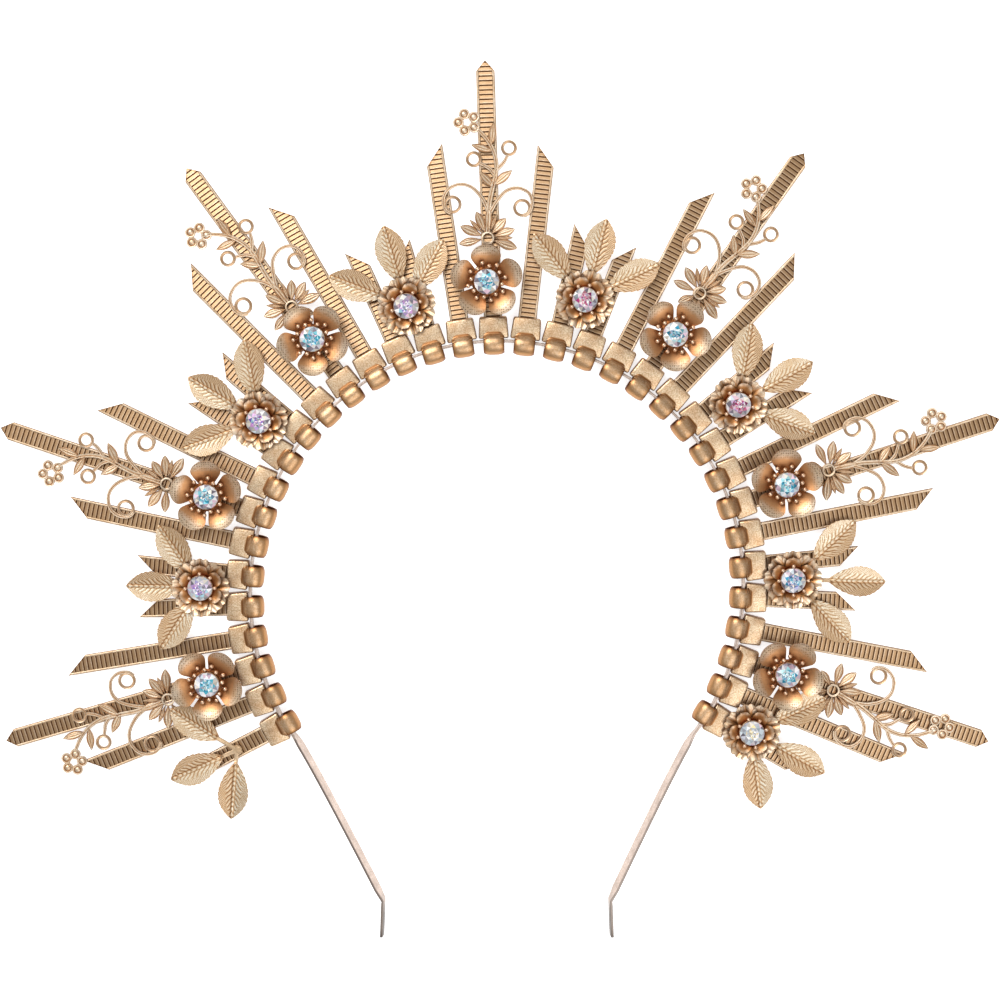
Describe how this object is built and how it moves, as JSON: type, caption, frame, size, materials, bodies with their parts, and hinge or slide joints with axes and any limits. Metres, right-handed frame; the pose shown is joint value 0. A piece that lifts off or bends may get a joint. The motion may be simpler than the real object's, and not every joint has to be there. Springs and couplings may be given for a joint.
{
  "type": "halo crown",
  "caption": "Halo crown on an open spring headband, with ribbed metal rays of three lengths, stone-set blossoms and rosettes, pierced sprigs and leaf sprays.",
  "frame": {"origin": "centre of the headband's arch, in the plane of the crown's flat back, on which it lies", "axes": "+Y to the top of the crown, +X to its right as seen from the front, +Z out of its front"},
  "size_m": [0.299, 0.264, 0.0095],
  "materials": {
    "spring_steel": "satin, a little pink, greyer and worn at the bent tips",
    "cap_brass": "satin antique rose gold, browner on the rolls",
    "ray_brass": "matte antique rose gold, with brown in the grooves",
    "petal_brass": "matte antique rose gold, dark brown towards the centre",
    "leaf_brass": "matte pale rose gold",
    "crystal": "clear cut crystal with an iridescent coating"
  },
  "bodies": {
    "root": {"headband": "spring_steel", "band_caps": "cap_brass", "medium_rays": "ray_brass", "short_rays": "ray_brass", "long_ray_1": "ray_brass", "long_ray_2": "ray_brass", "long_ray_3": "ray_brass", "long_ray_4": "ray_brass", "long_ray_5": "ray_brass", "long_ray_6": "ray_brass", "long_ray_7": "ray_brass", "blossom_1": "petal_brass", "blossom_2": "petal_brass", "blossom_3": "petal_brass", "blossom_4": "petal_brass", "blossom_5": "petal_brass", "blossom_6": "petal_brass", "blossom_7": "petal_brass", "blossom_stone_1": "crystal", "blossom_stone_2": "crystal", "blossom_stone_3": "crystal", "blossom_stone_4": "crystal", "blossom_stone_5": "crystal", "blossom_stone_6": "crystal", "blossom_stone_7": "crystal", "sprig_1": "leaf_brass", "sprig_2": "leaf_brass", "sprig_3": "leaf_brass", "sprig_4": "leaf_brass", "sprig_5": "leaf_brass", "sprig_6": "leaf_brass", "sprig_7": "leaf_brass", "leaf_spray_1": "leaf_brass", "leaf_spray_2": "leaf_brass", "leaf_spray_3": "leaf_brass", "leaf_spray_4": "leaf_brass", "leaf_spray_5": "leaf_brass", "leaf_spray_6": "leaf_brass", "leaf_spray_7": "leaf_brass", "leaf_spray_8": "leaf_brass", "rosette_1": "petal_brass", "rosette_2": "petal_brass", "rosette_3": "petal_brass", "rosette_4": "petal_brass", "rosette_5": "petal_brass", "rosette_6": "petal_brass", "rosette_7": "petal_brass", "rosette_stone_1": "crystal", "rosette_stone_2": "crystal", "rosette_stone_3": "crystal", "rosette_stone_4": "crystal", "rosette_stone_5": "crystal", "rosette_stone_6": "crystal", "rosette_stone_7": "crystal"}
  },
  "joints": []
}
